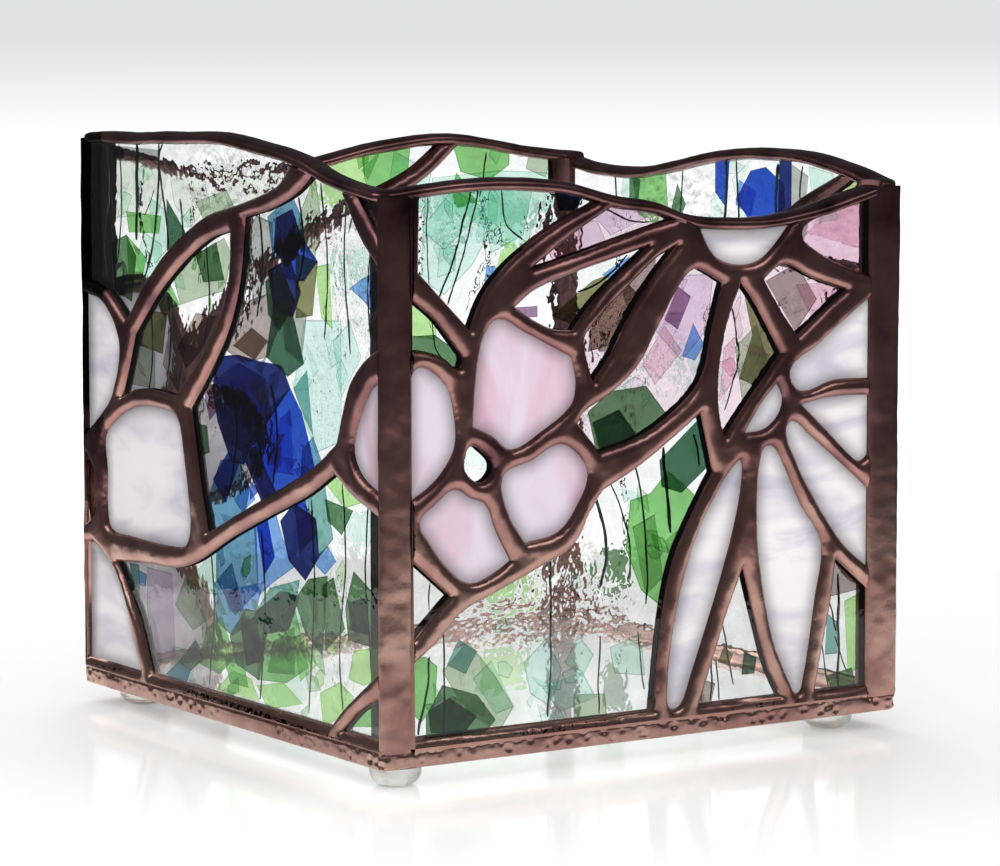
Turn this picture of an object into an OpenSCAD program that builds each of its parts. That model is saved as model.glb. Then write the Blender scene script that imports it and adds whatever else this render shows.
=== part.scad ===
// Square stained-glass candle holder with an open top.
// Four leaded-look panels of cut glass are foiled and soldered together, and stand
// on a base of clear glass with four stick-on bumper feet.
//
// The origin is on the surface that the feet stand on, below the middle of the box.
// +Z is up, and the front panel faces -Y.
//
// Each panel is drawn flat, as a viewer outside the box sees it: u runs to the right
// from the panel's left edge and v runs up from the underside of the base.

/* [Box] */
// Width of the front and back panels, over the solder
box_w = 116; // [108:1:124]
// Depth from the front panel to the back panel, over the solder
box_d = 112; // [104:1:120]

/* [Glass and solder] */
// Thickness of the sheet glass
glass_t = 3; // [2.5:0.1:3.5]
// How far a solder bead stands proud of the glass, on each face
bead_h = 1; // [0.6:0.1:1.2]
// How far each piece of glass runs in under the solder round its edge
lap = 0.9; // [0.5:0.1:0.9]
// Height of the solder bead along the top edge
rim_h = 2; // [1.7:0.1:2.3]
// Height of the solder rail round the edge of the base
rail_h = 3.6; // [3.6:0.1:3.8]

/* [Feet] */
// Diameter of a bumper foot
foot_d = 9.5; // [8:0.5:10]
// Height of a bumper foot
foot_h = 3.5; // [2.5:0.1:4.5]

/* [Hidden] */
// The size that the panels' patterns are drawn for
drawn_w = 116;
drawn_d = 112;
wall_t = glass_t + 2 * bead_h;

// Heights of the rim at the four corners
top_fl = 104;
top_fr = 101.2;
top_bl = 107.7;
top_br = 101;

// Width of the post of solder at each end of the front and back panels
post_w = 7;
// Reach of the solder fillet inside each corner
fillet = 2.2;
// Strip of solder at the ends of the left and right panels
edge_w = 0.7;
// Solder between a side panel and the end of the front or back panel
joint = 0.4;
// Gap left between the glass and the solder's outer limits, for the foil
foil = 0.3;
// How far in from the box's corners the inner beads stop
inner_w = bead_h + glass_t + bead_h + fillet;
// Solder under the edge of the base: its thickness and its width
lip_t = 0.4;
lip_w = 2.5;
// Bead along the inside of the base's joint with the walls: its width and its height
base_bead_w = 3;
base_bead_h = 1.2;
// More than the height of any panel
over_all = 150;
// Centres of the feet
feet = [[-52, -51], [47.5, -48], [-50, 46.5], [49.5, 47.5]];

clear = [0.86, 0.93, 0.90];
green = [0.55, 0.75, 0.55];
blue = [0.20, 0.35, 0.70];
opal = [0.90, 0.90, 0.90];
pink = [0.88, 0.76, 0.84];
mauve = [0.78, 0.68, 0.74];
copper = [0.42, 0.25, 0.20];

// Top edge of each panel
rim_front = [[0, top_fl], [12, 105], [26, 105.5], [40, 104.3], [51, 101.4], [60, 99.8], [68, 97],
    [77, 96.1], [87, 96], [97, 97.4], [107, 100], [113, 101.3], [drawn_w, top_fr]];
rim_left = [[0, top_bl], [2.5, 109], [20, 109.8], [48, 111.4], [68, 110.5], [84, 108.4], [92, 106.2],
    [100, 105], [drawn_d, top_fl]];
rim_back = [[0, top_br], [14, 103], [32, 105.9], [48, 105], [64, 102.3], [80, 100.4], [92, 101.5],
    [103, 104.8], [drawn_w, top_bl]];
rim_right = [[0, top_fr], [10, 103.6], [24, 105.6], [36, 105.8], [55, 104.5], [72, 101.2], [84, 99.5],
    [98, 99.6], [drawn_d, top_br]];

// The glass of each panel: name, colour, and the outline of the glass that shows
// between the beads. A point with a third value of 1 is a corner of the outline,
// and the outline curves through its other points.
FRONT = [
    ["front_sky", green, [[8.5, 103.3, 1], [20, 104], [32, 103.9], [42, 102.8], [49, 101, 1], [40, 97.5],
        [32, 93.2], [26, 88.8], [22, 84.2], [19.3, 78.5, 1], [14, 83.8], [8.5, 89.3, 1]]],
    ["front_bud", green, [[7.2, 84.3, 1], [12, 80.5], [15, 77], [17.8, 73.6, 1], [17, 71.6], [13.5, 73.9],
        [9.5, 75.2], [7.2, 75.4, 1]]],
    ["flower_petal_1", pink, [[7, 48.6, 1], [7, 70.2], [8.7, 72.3], [12, 70.9], [14.8, 67.8],
        [16.1, 62.5], [16.1, 57.5], [13.6, 53.4], [10.5, 50.6]]],
    ["flower_petal_2", pink, [[20, 61, 1], [20.7, 70], [22.3, 77], [25.5, 80.1], [31, 77.5],
        [41.3, 72.3, 1], [42.3, 67.5], [41.2, 63.4], [35, 59.2], [28.3, 56.2], [24.3, 58.9]]],
    ["flower_petal_3", pink, [[27.2, 52.2], [32.5, 53.8], [38.8, 56.5], [43, 54.2], [45, 50.5],
        [43, 45.5], [38.5, 40.4], [31.3, 39, 1], [28.2, 43.5], [26.2, 49.2]]],
    ["flower_petal_4", pink, [[8.8, 44.5], [12, 47.3], [16, 49.8], [19.6, 48], [22.8, 46.5], [24.8, 41.8],
        [28, 36, 1], [24.5, 34], [19.5, 32.5], [15, 35.3], [10.7, 40.7]]],
    ["flower_centre", clear, [[19.6, 57.4], [18.3, 55], [18.6, 52.7], [21.2, 50.7], [23.4, 51.6],
        [24.2, 53.7], [22.5, 55.8]]],
    ["front_wedge", clear, [[7.2, 37.3, 1], [15, 30.6, 1], [7.2, 23.4, 1]]],
    ["front_ground", green, [[7.2, 5.3, 1], [7.2, 18.8, 1], [12.5, 22.5], [17.5, 27.3], [24, 30],
        [35, 34.4], [42, 37.8], [45.5, 43.5], [48.3, 47.3, 1], [56, 51], [63, 55.3], [70.2, 60.2, 1],
        [71.5, 55], [73, 48.9, 1], [67.5, 40], [63.5, 31.5], [61.2, 20], [59.6, 5.3, 1]]],
    ["leaf_pink", mauve, [[32.5, 88.8, 1], [41, 94.3], [51.5, 100, 1], [58, 98.9], [65, 96.8, 1],
        [56, 94.6], [46, 92], [38, 90]]],
    ["leaf_clear", green, [[29, 82, 1], [33.5, 85], [42, 87.7], [50, 89.7], [58.5, 91.8, 1], [52, 87],
        [46, 82.2], [41.5, 77.2, 1], [37, 77.7], [32.5, 79.8]]],
    ["leaf_mauve", mauve, [[46, 67.5, 1], [44.8, 71.5], [44.2, 75.5], [47, 78.9], [54, 84.7], [60, 89.4],
        [64.6, 91.6, 1], [59.2, 86], [54.5, 80], [50, 72.5]]],
    ["leaf_large", mauve, [[47.5, 54.5, 1], [42.8, 60, 1], [44, 62], [50, 65.1], [56, 69.8], [60.5, 76.8],
        [65, 83.8], [68.5, 87], [72, 85.8], [75, 84.1, 1], [72.8, 76.5], [70.5, 67.3], [66, 62.3],
        [57, 57]]],
    ["lozenge_olive", mauve, [[79.2, 84, 1], [82.5, 79.8], [88.4, 70.3, 1], [82, 63], [75.6, 55.3, 1],
        [74.3, 60.5], [74.3, 68], [76.1, 76.5]]],
    ["lozenge_mauve", mauve, [[84.5, 84.4, 1], [89, 87], [95.5, 84.1], [103.4, 81.4, 1], [97.5, 77.2],
        [92.3, 73.5, 1], [88.3, 78.6]]],
    ["half_moon", opal, [[69.5, 95.2, 1], [80, 94.7], [90.5, 94.8, 1], [86, 89.9], [82.5, 87.7],
        [77.5, 87.5], [73, 89.5]]],
    ["rim_corner_pink", pink, [[93.3, 92.5], [97, 95.4], [104, 97.6], [110, 99.2, 1], [110, 83.5, 1],
        [104, 85.6], [97, 88.9]]],
    ["daisy_petal_1", opal, [[110, 80.2, 1], [110, 64.4, 1], [101, 64.5], [93.2, 62.9], [90.8, 67],
        [97, 71.3], [104, 76.2]]],
    ["daisy_petal_2", opal, [[93.5, 60.3, 1], [100, 61.3], [109.5, 61.2, 1], [109.2, 50.5], [107.4, 48.7],
        [105.5, 49.5], [98.5, 55.9]]],
    ["daisy_petal_3", opal, [[89.9, 55.3], [91.5, 57.3], [95.5, 54.3], [102.5, 48.8], [109.6, 42.9, 1],
        [109.6, 28, 1], [103.5, 33], [97.3, 41.2], [92.2, 49.7]]],
    ["daisy_petal_4", opal, [[84.2, 51.8], [86.5, 53], [88.6, 50.6], [93.4, 41.3], [98.3, 33.7],
        [97, 23.5], [94, 6.5], [92.6, 5.3], [91, 7.7], [87, 16.5], [83.9, 31], [83.2, 41]]],
    ["daisy_petal_5", opal, [[79, 50.8], [79.8, 49], [78.6, 41], [74.8, 28.5], [68.4, 11.5], [66, 5.9],
        [63.6, 5.3], [62.8, 8.5], [64.3, 21], [68, 34], [73.3, 44]]],
    ["daisy_centre", opal, [[80.3, 55.8, 1], [85, 56.3], [88.1, 58.9], [88.9, 62], [87.6, 64.7, 1],
        [84, 61]]],
    ["stem_gap", clear, [[80, 30.5, 1], [82.9, 20.5], [85.7, 11.5], [88.8, 5.3, 1], [70, 5.3, 1],
        [73.5, 14.5], [77, 23.5]]],
    ["front_corner_clear", clear, [[101.6, 30.4, 1], [109.6, 23.6, 1], [109.6, 5.3, 1], [97, 5.3, 1],
        [98.4, 12.5], [100.4, 21.5]]],
];

LEFT = [
    ["left_sky", green, [[1.3, 80.3, 1], [1.3, 107.2, 1], [4, 107.8], [20, 108.4], [47, 110], [68, 109.1],
        [80.5, 107.2, 1], [75, 102.9], [60, 98.4], [48, 95.4], [34, 88.2], [25, 81.2], [17.5, 73.6, 1],
        [11, 78], [6, 79.8]]],
    ["left_petal_upper", opal, [[1.3, 50.4, 1], [1.3, 77.3, 1], [7, 76.4], [12, 73.1], [14.6, 68.5],
        [13.9, 63.3], [10.7, 57.6], [6, 53.6]]],
    ["left_fern", green, [[15, 58.2, 1], [20, 60.1], [27, 60.9], [36.5, 60.5, 1], [46, 68.4],
        [54.3, 77.7], [57.6, 86], [58, 93.5, 1], [50, 91.5], [40, 86.5], [30, 79.6], [20.5, 71, 1],
        [18.3, 65.5]]],
    ["left_petal_main", opal, [[8, 49.5], [12.5, 53.5], [20, 56.6], [29, 57.5], [37.3, 56.2], [40, 49],
        [42, 37.5], [40.5, 32.6], [34, 31.3], [18, 31.3], [10, 31.9], [8.5, 36], [8.6, 43.5]]],
    ["left_sliver", clear, [[1.3, 45.3, 1], [4, 42.3], [5.2, 38.5], [4.5, 34.8], [1.3, 32.2, 1]]],
    ["left_petal_lower", opal, [[1.3, 5.3, 1], [1.3, 28, 1], [3.5, 28.3], [10.3, 24.7], [15.9, 18.5],
        [19.3, 11], [22.5, 5.3, 1]]],
    ["left_ground", green, [[26.3, 5.3, 1], [21.3, 15.3], [12.6, 25.6, 1], [24, 26.7], [36, 27.4],
        [44, 29.5], [57, 35.6], [72, 41.7], [85, 46.8], [95, 52.1, 1], [101, 48.8], [111.3, 45.5, 1],
        [111.3, 18.3, 1], [104, 13.6], [97.5, 9], [93.3, 5.3, 1]]],
    ["left_corner_green", green, [[97.6, 5.3, 1], [103, 9.4], [111.3, 13.6, 1], [111.3, 5.3, 1]]],
    ["left_pool", blue, [[63, 96.3, 1], [72, 98.4], [81, 101.6], [87.5, 105.5, 1], [91, 104.9],
        [98, 103.3, 1], [104, 95.6], [111.3, 89.8, 1], [111.3, 76.7, 1], [104.5, 72.8], [99.8, 67.5],
        [96, 57.8, 1], [88, 52.7], [78, 48.2], [62, 41.5], [48.3, 35.6, 1], [45.9, 43], [43.7, 52.5],
        [42.2, 58.8, 1], [50, 66.8], [57, 75.5], [61, 84.5]]],
    ["left_rim_corner", clear, [[103, 103, 1], [111.3, 102.6, 1], [111.3, 95.3, 1]]],
    ["left_petal_round", pink, [[111.3, 49.8, 1], [111.3, 70.3, 1], [107.5, 68.3], [103.1, 61.8],
        [101.6, 56.7], [104.7, 52.5]]],
];

BACK = [
    ["back_sky", green, [[7.2, 100.8, 1], [14, 101.7], [22, 103.6], [30, 104.4, 1], [38, 97.7],
        [48, 92.3], [62, 86], [76, 77], [84, 68], [88.5, 58.6, 1], [80, 55.8], [74.8, 51], [73.3, 46.9],
        [75, 41], [81, 36], [89, 33.4], [97, 34.2], [104, 40.8], [108.8, 46, 1], [108.8, 31.2, 1],
        [100.5, 29.8], [92.5, 23.5], [87.3, 14.5], [85, 5.3, 1], [7.2, 5.3, 1]]],
    ["back_glade", green, [[34.5, 104.5, 1], [48, 103.7], [64, 101], [80, 99.2], [92, 100.3],
        [103, 103.5], [108.8, 105.5, 1], [108.8, 80, 1], [102, 80.5], [95.5, 75.5], [92.2, 67, 1],
        [86, 73.5], [78, 80.5], [66, 88], [52, 94.7], [42, 99]]],
    ["back_petal_upper", opal, [[108.8, 51, 1], [108.8, 76.5, 1], [102.5, 77], [97.5, 71.5], [96, 64.5],
        [98.5, 57.5], [103.5, 53]]],
    ["back_petal_outer", opal, [[103, 49], [97.5, 53.5], [90, 55.2], [81.5, 52.3], [77, 46.5], [79, 40],
        [87, 36.5], [95.5, 37.2], [101, 42.5]]],
    ["back_petal_lower", opal, [[108.8, 5.3, 1], [108.8, 28, 1], [102, 27], [95, 21.5], [90.5, 13.5],
        [88.5, 5.3, 1]]],
];

RIGHT = [
    ["right_rim_corner", pink, [[1.3, 84.5, 1], [1.3, 100, 1], [5, 101.2], [9, 102, 1], [19, 96.7],
        [28, 91.8], [34.5, 86.5, 1], [24, 85.6], [14, 85.6]]],
    ["right_sky", green, [[12.5, 102.8, 1], [24, 104.2], [36, 104.5], [55, 103.2], [72, 99.9], [84, 98.2],
        [98, 98.3], [110.7, 99.4, 1], [110.7, 5.3, 1], [1.3, 5.3, 1], [1.3, 24.6, 1], [9, 23.7],
        [13.5, 25.2], [16.3, 29], [16.6, 36], [13.5, 43.5, 1], [20, 47.3], [24.5, 55.5], [21.5, 63],
        [20.9, 68.5], [19.3, 76.5], [14.5, 82.2, 1], [25, 82.5], [36, 83], [39, 86.2], [31, 94.3]]],
    ["right_petal_tips", opal, [[1.3, 64.3, 1], [1.3, 80.8, 1], [10, 81.2], [16, 77], [17.5, 70.5],
        [13, 65.2], [7, 63.8]], [[1.3, 48.3, 1], [1.3, 61, 1], [9, 60.2], [17.5, 60.8], [21, 55.5],
        [17, 49.5], [9, 47]], [[1.3, 28, 1], [1.3, 44.8, 1], [8, 43.2], [13, 37.5], [13, 31], [8, 27]]],
];

// ---- Outlines ----

// The u and v of an outline point, without its corner mark
function uv(p) = [p[0], p[1]];
function unit(v) = v / norm(v);

// A point at t along the cubic from a to b, which leaves a along ta and reaches b along tb
function cubic(a, ta, b, tb, t) =
    (2 * pow(t, 3) - 3 * pow(t, 2) + 1) * a + (pow(t, 3) - 2 * pow(t, 2) + t) * ta
    + (3 * pow(t, 2) - 2 * pow(t, 3)) * b + (pow(t, 3) - pow(t, 2)) * tb;

// Direction of an outline at point i: along the straight side at a corner, and
// between the two neighbours elsewhere
function heading(p, i, side) = let (n = len(p))
    p[i][2] == 1 ? unit(side) : unit(uv(p[(i + 1) % n]) - uv(p[(i + n - 1) % n]));

// Closed outline through points p, straight between two corners
function closed_curve(p, steps = 4) = let (n = len(p)) [for (i = [0:n - 1])
    let (j = (i + 1) % n, a = uv(p[i]), b = uv(p[j]), side = b - a,
        ta = norm(side) * heading(p, i, side), tb = norm(side) * heading(p, j, side),
        count = p[i][2] == 1 && p[j][2] == 1 ? 1 : steps)
    for (k = [0:count - 1]) cubic(a, ta, b, tb, k / count)];

// Open curve through points p, from the first to the last
function open_curve(p, steps = 4) = let (last = len(p) - 1, way = [for (i = [0:last])
    unit(p[min(i + 1, last)] - p[max(i - 1, 0)])])
    concat([for (i = [0:last - 1]) let (reach = norm(p[i + 1] - p[i])) for (k = [0:steps - 1])
        cubic(p[i], reach * way[i], p[i + 1], reach * way[i + 1], k / steps)], [p[last]]);

function signed_area(p) = let (n = len(p))
    sum([for (i = [0:n - 1]) cross(p[i], p[(i + 1) % n]) / 2], n - 1);
function sum(list, i) = i < 0 ? 0 : list[i] + sum(list, i - 1);

// Closed outline p moved outwards by d, with its sharp tips cut short
function grown(p, d) = let (n = len(p), turn = sign(signed_area(p)), tip = 0.4) [for (i = [0:n - 1])
    let (a = unit(p[i] - p[(i + n - 1) % n]), b = unit(p[(i + 1) % n] - p[i]),
        na = turn * [a[1], -a[0]], nb = turn * [b[1], -b[0]])
    p[i] + d * (na + nb) / max(1 + na * nb, tip)];

// Outline p drawn for a panel of width `drawn`, fitted to a panel of width `real`
function fitted(p, drawn, real) = [for (q = p) [q[0] * real / drawn, q[1], q[2]]];
function fitted_rim(p, drawn, real) = [for (q = p) [q[0] * real / drawn, q[1]]];
function lowered(p, d) = [for (q = p) [q[0], q[1] - d]];

// ---- Panels ----
// A panel is [rim, width drawn, real width, web inset, bead inset, panes]. The insets are how far
// in from the box's corners the web between its panes and its outer bead stop.
front = [rim_front, drawn_w, box_w, bead_h + glass_t + joint, post_w, FRONT];
left = [rim_left, drawn_d, box_d, bead_h, edge_w, LEFT];
back = [rim_back, drawn_w, box_w, bead_h + glass_t + joint, post_w, BACK];
right = [rim_right, drawn_d, box_d, bead_h, edge_w, RIGHT];

function rim_of(panel) = open_curve(fitted_rim(panel[0], panel[1], panel[2]));

// All of the panel between v = low and its rim, less `inset` at each end
module panel_area(panel, low, inset) intersection() {
    polygon(concat([[0, low], [panel[2], low]], [for (i = [len(rim_of(panel)) - 1:-1:0])
        lowered(rim_of(panel), rim_h)[i]]));
    translate([inset, low]) square([panel[2] - 2 * inset, over_all]);
}

// The glass of one pane, or the part of it that shows where d is 0
module pane_area(panel, outline, d) {
    shape = closed_curve(fitted(outline, panel[1], panel[2]));
    polygon(d == 0 ? shape : grown(shape, d));
}

// All the panes' glass, inside the panel's own limits, or all that shows of it where d is 0
module panes_area(panel, d) {
    module panes() for (pane = panel[5]) for (k = [2:len(pane) - 1]) pane_area(panel, pane[k], d);
    if (d == 0) panes();
    else intersection() {
        panes();
        panel_area(panel, rail_h + foil, panel[3] + foil);
    }
}

module pane(panel, pane) color(pane[1]) for (k = [2:len(pane) - 1]) translate([0, 0, bead_h])
    linear_extrude(glass_t) intersection() {
        pane_area(panel, pane[k], lap);
        panel_area(panel, rail_h + foil, panel[3] + foil);
    }

// Solder between and round the panes: a bead on each face, and the web that joins them
module seams(panel) color(copper) {
    for (z = [0, bead_h + glass_t]) translate([0, 0, z]) linear_extrude(bead_h) difference() {
        panel_area(panel, rail_h, z == 0 ? panel[4] : inner_w);
        panes_area(panel, 0);
    }
    translate([0, 0, bead_h]) linear_extrude(glass_t) difference() {
        panel_area(panel, rail_h, panel[3]);
        panes_area(panel, lap);
    }
}

// Stands a panel that is drawn flat up on its side of the box, with z = 0 at its outer face
module on_front() translate([-box_w / 2, -box_d / 2, foot_h]) rotate([90, 0, 0]) mirror([0, 0, 1]) children();
module on_left() rotate([0, 0, -90]) translate([-box_d / 2, -box_w / 2, foot_h]) rotate([90, 0, 0])
    mirror([0, 0, 1]) children();
module on_back() rotate([0, 0, 180]) on_front() children();
module on_right() rotate([0, 0, 180]) on_left() children();

// Band of solder along the top edge of one panel
module rim(panel) {
    top = rim_of(panel);
    under = lowered(top, rim_h);
    linear_extrude(wall_t) polygon(concat(top, [for (i = [len(under) - 1:-1:0]) under[i]]));
}

// ---- Sub-parts ----
module front_pane(pane) on_front() pane(front, pane);
module left_pane(pane) on_left() pane(left, pane);
module back_pane(pane) on_back() pane(back, pane);
module right_pane(pane) on_right() pane(right, pane);

// Section of a corner post, from the box's outer corner: the outer cover over the
// side panel's end, the joint between the panels and the fillet inside
function post_section() = let (inner = bead_h + glass_t, face = inner + bead_h)
    concat([[0, 0], [post_w, 0], [post_w, bead_h], [inner + joint, bead_h], [inner + joint, inner],
        [inner_w, inner]],
        [for (angle = [270:-15:180]) [inner_w, inner_w] + fillet * [cos(angle), sin(angle)]],
        [[inner, inner_w], [inner, bead_h], [bead_h, bead_h], [bead_h, edge_w], [0, edge_w]]);

// Post at the corner on the side of the box that x_side and y_side name, -1 or 1
module corner_post(x_side, y_side) {
    depth = post_w + fillet;
    color(copper) intersection() {
        mirror([x_side > 0 ? 1 : 0, 0, 0]) mirror([0, y_side > 0 ? 1 : 0, 0])
            translate([-box_w / 2, -box_d / 2, 0]) linear_extrude(over_all) polygon(post_section());
        if (y_side < 0) on_front() linear_extrude(depth) panel_area(front, rail_h, 0);
        else on_back() linear_extrude(depth) panel_area(back, rail_h, 0);
        if (x_side < 0) on_left() linear_extrude(depth) panel_area(left, rail_h, 0);
        else on_right() linear_extrude(depth) panel_area(right, rail_h, 0);
    }
}

module rim_bead() color(copper) {
    on_front() rim(front);
    on_left() rim(left);
    on_back() rim(back);
    on_right() rim(right);
}

// A block centred on the box, `inset` in from its outer faces, from z = low to z = high
module level(inset, low, high) translate([-box_w / 2 + inset, -box_d / 2 + inset, low])
    cube([box_w - 2 * inset, box_d - 2 * inset, high - low]);

module base_glass() color(clear) level(bead_h, foot_h + lip_t, foot_h + lip_t + glass_t - foil);

module base_rail() color(copper) difference() {
    union() {
        level(0, foot_h, foot_h + rail_h);
        level(wall_t, foot_h, foot_h + rail_h + base_bead_h);
    }
    level(bead_h, foot_h + lip_t, foot_h + lip_t + glass_t - foil);
    level(lip_w, 0, foot_h + lip_t);
    level(wall_t + base_bead_w, 0, foot_h + rail_h + base_bead_h + 1);
}

// One foot: flat where it rests, domed, with a straight band where it is stuck on
module foot() {
    flat_r = 2;
    band_h = 0.9;
    dome_h = foot_h - band_h;
    r = foot_d / 2;
    top = foot_h + lip_t;
    dome = [for (angle = [0:15:90]) [flat_r + (r - flat_r) * sin(angle), dome_h * (1 - cos(angle))]];
    rotate_extrude($fn = 48) polygon(concat([[0, 0]], dome, [[r, top], [0, top]]));
}

module bumper_feet() color([0.92, 0.93, 0.92]) difference() {
    for (place = feet) translate(place) foot();
    difference() {
        level(0, foot_h, foot_h + lip_t + 1);
        level(lip_w, 0, foot_h + lip_t + 2);
    }
}

for (pane = FRONT) front_pane(pane);
for (pane = LEFT) left_pane(pane);
for (pane = BACK) back_pane(pane);
for (pane = RIGHT) right_pane(pane);
on_front() seams(front);  // front_seams
on_left() seams(left);  // left_seams
on_back() seams(back);  // back_seams
on_right() seams(right);  // right_seams
corner_post(-1, -1);  // corner_seam_front_left
corner_post(1, -1);  // corner_seam_front_right
corner_post(-1, 1);  // corner_seam_back_left
corner_post(1, 1);  // corner_seam_back_right
rim_bead();
base_rail();
base_glass();
bumper_feet();
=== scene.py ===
"""A square stained-glass candle holder: soldered seams, cut glass and its light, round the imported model.

Sizes are in millimetres until a mesh is made. Each wall has its own flat coordinates, as a viewer
outside the box sees it: u runs to the right from the wall's left edge, v runs up from the underside
of the base, and out is how far a point stands in front of the glass.
"""
import math
import random

import bmesh
import bpy
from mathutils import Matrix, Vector, noise
from mathutils.bvhtree import BVHTree
from mathutils.geometry import delaunay_2d_cdt
from mathutils.kdtree import KDTree


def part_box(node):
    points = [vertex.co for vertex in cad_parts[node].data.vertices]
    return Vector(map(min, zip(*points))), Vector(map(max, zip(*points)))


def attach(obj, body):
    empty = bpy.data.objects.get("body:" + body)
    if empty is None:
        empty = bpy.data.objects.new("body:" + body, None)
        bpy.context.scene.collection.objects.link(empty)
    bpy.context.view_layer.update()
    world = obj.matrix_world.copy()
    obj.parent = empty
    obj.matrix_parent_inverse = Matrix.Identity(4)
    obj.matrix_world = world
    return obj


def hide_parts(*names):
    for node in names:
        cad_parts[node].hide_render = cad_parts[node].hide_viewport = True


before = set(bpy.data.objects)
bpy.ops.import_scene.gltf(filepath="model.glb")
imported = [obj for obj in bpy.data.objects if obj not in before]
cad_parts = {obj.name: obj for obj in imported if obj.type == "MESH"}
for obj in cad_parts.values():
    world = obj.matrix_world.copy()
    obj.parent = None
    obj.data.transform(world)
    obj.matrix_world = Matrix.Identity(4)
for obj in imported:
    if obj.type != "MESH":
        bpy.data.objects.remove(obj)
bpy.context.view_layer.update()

MM = 0.001
UP = Vector((0, 0, 1))
# Level direction of the camera's view once mirrored in the front panel; in the left one it is the opposite
MIRRORED = Vector((0.545, -0.838, 0))
SOLDER_NODES = [n for n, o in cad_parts.items() if o.data.materials[0].name == "copper_patina_solder"]


def box_mm(node):
    """Lowest and highest corner of a CAD node, in millimetres."""
    low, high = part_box(node)
    return low / MM, high / MM


BOX_LOW, BOX_HIGH = box_mm("base_rail")
BEAD = box_mm("front_sky")[0].y - BOX_LOW.y
GLASS = box_mm("front_sky")[1].y - box_mm("front_sky")[0].y
OUTER, INNER = BEAD, -GLASS - BEAD


class Wall:
    """One wall of the box, and the way between its flat coordinates and the frame's."""

    def __init__(self, name, corner, along, out):
        self.name, self.corner, self.along, self.out = name, Vector(corner), Vector(along), Vector(out)

    def point(self, u, v, out=0.0):
        return self.corner + self.along * u + UP * v + self.out * out

    def flat(self, metres):
        """(u, v, out) of a point in the frame."""
        p = metres / MM - self.corner
        return Vector((p.dot(self.along), p.z, p.dot(self.out)))


WALLS = {
    "front": Wall("front", (BOX_LOW.x, BOX_LOW.y + BEAD, BOX_LOW.z), (1, 0, 0), (0, -1, 0)),
    "left": Wall("left", (BOX_LOW.x + BEAD, BOX_HIGH.y, BOX_LOW.z), (0, -1, 0), (-1, 0, 0)),
    "back": Wall("back", (BOX_HIGH.x, BOX_HIGH.y - BEAD, BOX_LOW.z), (-1, 0, 0), (0, 1, 0)),
    "right": Wall("right", (BOX_HIGH.x - BEAD, BOX_LOW.y, BOX_LOW.z), (0, 1, 0), (1, 0, 0)),
}


def wall_of(node):
    """The wall that a pane is in: its name starts with the wall's, except on the front."""
    return WALLS.get(node.split("_")[0], WALLS["front"])


# ---- Node trees ----

class Tree:
    """A node tree in the making. What stands for a value is a number, a colour or another node's output."""

    def __init__(self, owner):
        owner.use_nodes = True
        self.nodes, self.links = owner.node_tree.nodes, owner.node_tree.links

    def set(self, node, values):
        """Sets or links a node's inputs, by name or number."""
        for key, value in values.items():
            if isinstance(value, bpy.types.NodeSocket):
                self.links.new(value, node.inputs[key])
            else:
                node.inputs[key].default_value = value

    def new(self, kind, values, out=0, **settings):
        """Adds a node and gives one of its outputs."""
        node = self.nodes.new("ShaderNode" + kind)
        for key, value in settings.items():
            setattr(node, key, value)
        self.set(node, values)
        return node.outputs[out]

    def place(self, out="Object"):
        return self.new("TexCoord", {}, out)

    def attribute(self, name, out="Fac"):
        return self.new("Attribute", {}, out, attribute_name=name)

    def math(self, operation, *values, **settings):
        return self.new("Math", dict(enumerate(values)), operation=operation, **settings)

    def noise(self, place, scale, detail=2.0, **values):
        return self.new("TexNoise", {"Vector": place, "Scale": scale, "Detail": detail, **values}, "Fac")

    def remap(self, value, start, to, **settings):
        """A value whose range `start` becomes the range `to`."""
        ends = {"From Min": start[0], "From Max": start[1], "To Min": to[0], "To Max": to[1]}
        return self.new("MapRange", {"Value": value, **ends}, "Result", **settings)

    def ramp(self, value, *stops):
        """A colour ramp through (position, colour) stops."""
        node = self.nodes.new("ShaderNodeValToRGB")
        self.links.new(value, node.inputs["Fac"])
        made = node.color_ramp.elements
        for element, (position, colour) in zip(made, (stops[0], stops[-1])):
            element.position, element.color = position, colour + (1,)
        for position, colour in stops[1:-1]:
            made.new(position).color = colour + (1,)
        return node.outputs["Color"]

    def bump(self, height, strength, distance):
        return self.new("Bump", {"Height": height, "Strength": strength, "Distance": distance}, "Normal")

    def end(self, output, factor, first, second):
        """Ends the tree in a mix of two shaders."""
        mix = self.new("MixShader", {0: factor, 1: first, 2: second})
        self.links.new(mix, self.nodes[output].inputs["Surface"])


def new_material(name):
    """A node material, its tree and its Principled shader."""
    material = bpy.data.materials.new(name)
    tree = Tree(material)
    return material, tree, tree.nodes["Principled BSDF"]


# ---- Camera, stage and light ----

def add_camera():
    """The camera stands off the front left corner, a little above the rim."""
    turn, tilt, focal_px, frame_px = -33.04, 7.037, 4822.2, 1000
    data = bpy.data.cameras.new("camera")
    data.lens = data.sensor_width * focal_px / frame_px
    data.clip_end = 50
    camera = bpy.data.objects.new("camera", data)
    camera.location = (-0.5029, -0.7789, 0.1695)
    camera.rotation_euler = (math.radians(90 - tilt), 0, math.radians(turn))
    bpy.context.scene.collection.objects.link(camera)
    bpy.context.scene.camera = camera


def add_light(name, place, aim, size, power, gloss=False):
    data = bpy.data.lights.new(name, "AREA")
    data.shape, data.size, data.size_y = "RECTANGLE", size[0], size[1]
    data.energy = power
    light = bpy.data.objects.new(name, data)
    light.location = place
    light.rotation_euler = (Vector(aim) - Vector(place)).to_track_quat("-Z", "Y").to_euler()
    light.visible_glossy = gloss
    bpy.context.scene.collection.objects.link(light)


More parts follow.
